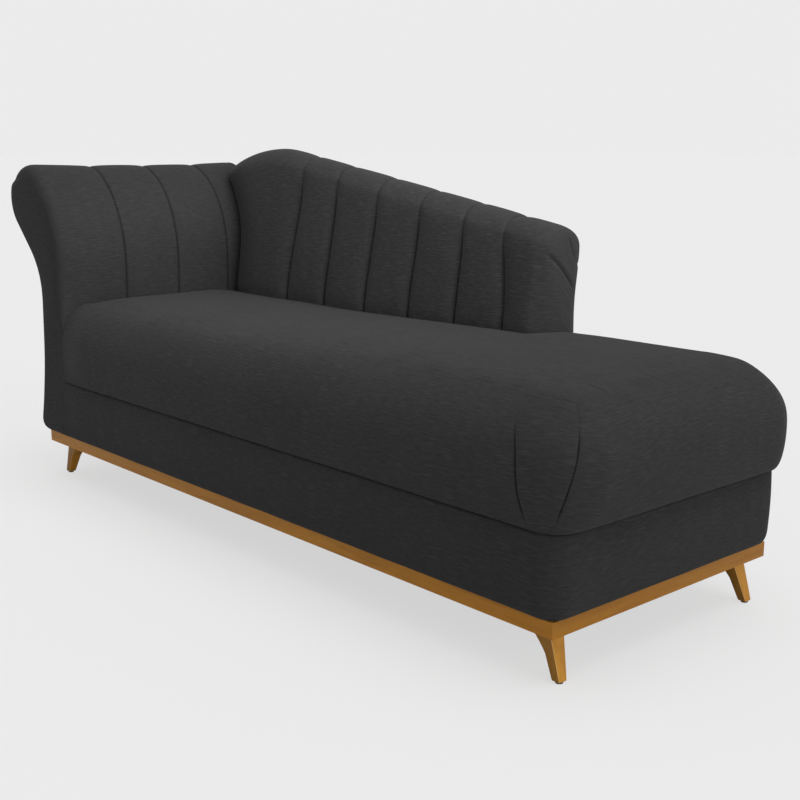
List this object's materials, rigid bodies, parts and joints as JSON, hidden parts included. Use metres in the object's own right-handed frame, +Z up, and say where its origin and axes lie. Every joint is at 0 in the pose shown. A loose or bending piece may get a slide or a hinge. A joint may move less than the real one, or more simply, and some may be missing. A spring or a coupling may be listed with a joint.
{
  "type": "recamier",
  "caption": "Upholstered recamier with one scroll arm, a sloping channelled back, a deep crowned seat and a timber plinth on short splayed legs.",
  "frame": {"origin": "centre of the bounding box, on the floor under the glides", "axes": "+X towards the foot end, with the arm at -X; the front faces -Y and the back stands at +Y; +Z up"},
  "size_m": [1.7709, 0.606, 0.7705],
  "materials": {
    "oak": "semi-gloss clear lacquer over a honey stain",
    "pine": "planed, unfinished",
    "plywood": "thin bent plywood, unfinished",
    "cloth": "matte charcoal woven upholstery cloth with fine slubs",
    "dust_cloth": "black non-woven",
    "webbing": "woven jute and elastic",
    "felt": "grey needled felt",
    "steel": "zinc plated",
    "glide": "black nylon"
  },
  "bodies": {
    "root": {"plinth_front": "oak", "plinth_rear": "oak", "plinth_arm_end": "oak", "plinth_foot_end": "oak", "leg_front_arm": "oak", "leg_front_foot": "oak", "leg_rear_arm": "oak", "leg_rear_foot": "oak", "glide_front_arm": "glide", "glide_front_foot": "glide", "glide_rear_arm": "glide", "glide_rear_foot": "glide", "corner_blocks": "pine", "hanger_bolts": "steel", "tee_nuts": "steel", "plinth_screws": "steel", "dust_cover": "dust_cloth", "base_rail_front": "pine", "base_rail_rear": "pine", "base_rail_arm_end": "pine", "base_rail_foot_end": "pine", "base_stretchers": "pine", "webbing_across": "webbing", "webbing_along": "webbing", "seat_felt": "felt", "seat_pad": "cloth", "base_cover_front": "cloth", "base_cover_foot_end": "cloth", "base_cover_rear": "cloth", "arm_rib_front": "pine", "arm_rib_middle": "pine", "arm_rib_rear": "pine", "arm_stretchers": "pine", "arm_board": "plywood", "arm_pad": "cloth", "arm_outer_panel": "cloth", "arm_front_facing": "cloth", "arm_rear_facing": "cloth", "back_posts": "pine", "back_top_rail": "pine", "back_middle_rails": "pine", "back_board": "plywood", "back_pad": "cloth", "back_end_pad": "cloth", "back_rear_panel": "cloth", "post_bolts": "steel"}
  },
  "joints": []
}
